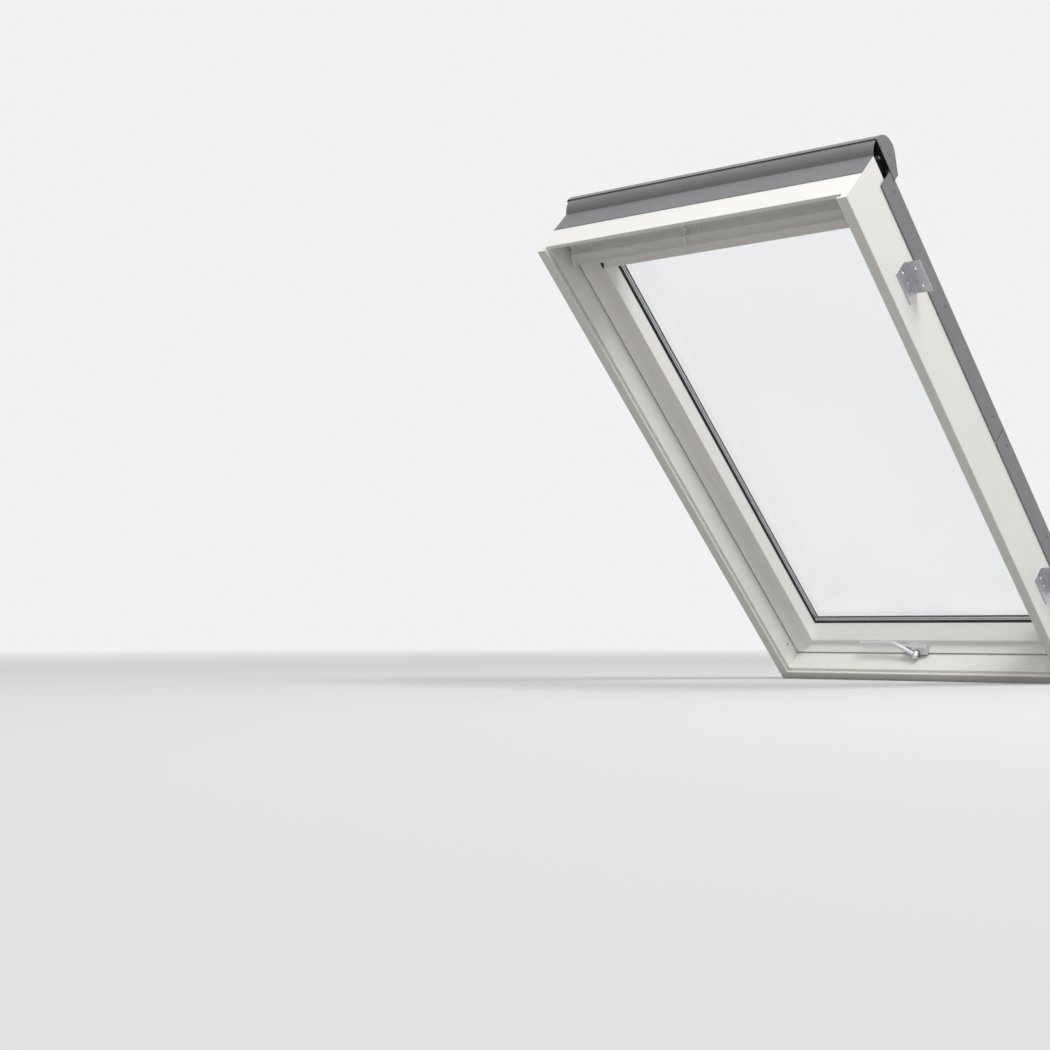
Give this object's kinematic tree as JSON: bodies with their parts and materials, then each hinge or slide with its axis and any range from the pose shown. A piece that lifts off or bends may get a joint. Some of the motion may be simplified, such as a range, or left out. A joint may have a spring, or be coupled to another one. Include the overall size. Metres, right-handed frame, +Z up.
{
  "type": "roof window",
  "caption": "White pitched-roof window with insulating glass, top control bar, ventilation flap, bottom lever handle and grey outside covers, top-hung and centre-pivoting.",
  "frame": {"origin": "middle of the frame's lower edge, in the roof plane that the mounting brackets rest on", "axes": "+Z up, +X to the right seen from the room, the room below and towards -Y; the window leans back at 45 degrees as in its roof"},
  "size_m": [1.032, 1.2813, 1.3057],
  "materials": {
    "white_timber": "satin white moulded coat over a timber core",
    "black_rubber": "matt",
    "zinc_steel": "zinc plated",
    "grey_sheet": "matt grey lacquer",
    "white_plastic": "satin",
    "white_bar": "white powder coat",
    "dark_plastic": "fine grain",
    "grey_foam": "open foam",
    "spacer_metal": "mill finish",
    "clear_glass": "clear float glass",
    "satin_chrome": "satin"
  },
  "bodies": {
    "frame": {"frame_sill": "white_timber", "frame_head": "white_timber", "frame_jamb_left": "white_timber", "frame_jamb_right": "white_timber", "head_gasket": "black_rubber", "upper_side_gasket_left": "black_rubber", "upper_side_gasket_right": "black_rubber", "lock_strikers": "zinc_steel", "hinge_pins": "zinc_steel", "hinge_bracket_left": "zinc_steel", "hinge_bracket_right": "zinc_steel", "mounting_bracket_lower_left": "zinc_steel", "mounting_bracket_lower_right": "zinc_steel", "mounting_bracket_upper_left": "zinc_steel", "mounting_bracket_upper_right": "zinc_steel", "bracket_screws": "zinc_steel", "bolt_bushing_left": "white_plastic", "bolt_bushing_right": "white_plastic", "sill_cover": "grey_sheet", "head_cover": "grey_sheet", "frame_side_cover_left": "grey_sheet", "frame_side_cover_right": "grey_sheet"},
    "lifting_arms": {"pivot_pins": "zinc_steel", "lifting_arm_left": "zinc_steel", "lifting_arm_right": "zinc_steel", "top_hood": "grey_sheet", "arm_cover_left": "grey_sheet", "arm_cover_right": "grey_sheet"},
    "sash": {"sash_bottom_rail": "white_timber", "sash_top_rail": "white_timber", "sash_stile_left": "white_timber", "sash_stile_right": "white_timber", "inner_pane": "clear_glass", "outer_pane": "clear_glass", "spacer_bar": "spacer_metal", "glazing_gasket": "black_rubber", "cover_gasket": "black_rubber", "bottom_gasket": "black_rubber", "side_gasket_left": "black_rubber", "side_gasket_right": "black_rubber", "sash_top_cover": "grey_sheet", "sash_bottom_cover": "grey_sheet", "sash_side_cover_left": "grey_sheet", "sash_side_cover_right": "grey_sheet", "cover_end_caps": "dark_plastic", "barrel_bolts": "zinc_steel", "pivot_plate_left": "zinc_steel", "pivot_plate_right": "zinc_steel", "bolt_guides": "white_plastic", "flap_lugs": "white_plastic", "vent_filter": "grey_foam", "handle_base": "satin_chrome"},
    "vent_flap": {"vent_flap": "white_plastic", "bar_bracket_left": "white_plastic", "bar_bracket_centre": "white_plastic", "bar_bracket_right": "white_plastic", "control_bar": "white_bar", "flap_gasket": "black_rubber"},
    "handle": {"handle_lever": "satin_chrome", "hub_cap": "satin_chrome"}
  },
  "joints": [
    {"name": "top_hinge", "type": "hinge", "parent": "frame", "child": "lifting_arms", "pos_m": [0, -1.03874, 1.18865], "axis": [1, 0, 0], "range_deg": [0, 45]},
    {"name": "centre_pivot", "type": "hinge", "parent": "lifting_arms", "child": "sash", "pos_m": [0, -0.50063, 0.63074], "axis": [1, 0, 0], "range_deg": [0, 164]},
    {"name": "flap_hinge", "type": "hinge", "parent": "sash", "child": "vent_flap", "pos_m": [0, -1.06207, 1.0748], "axis": [1, 0, 0], "range_deg": [0, 30]},
    {"name": "handle_turn", "type": "hinge", "parent": "sash", "child": "handle", "pos_m": [-0.016, -0.0495, 0.01273], "axis": [0, 0.7071, 0.7071], "range_deg": [0, 90]}
  ]
}
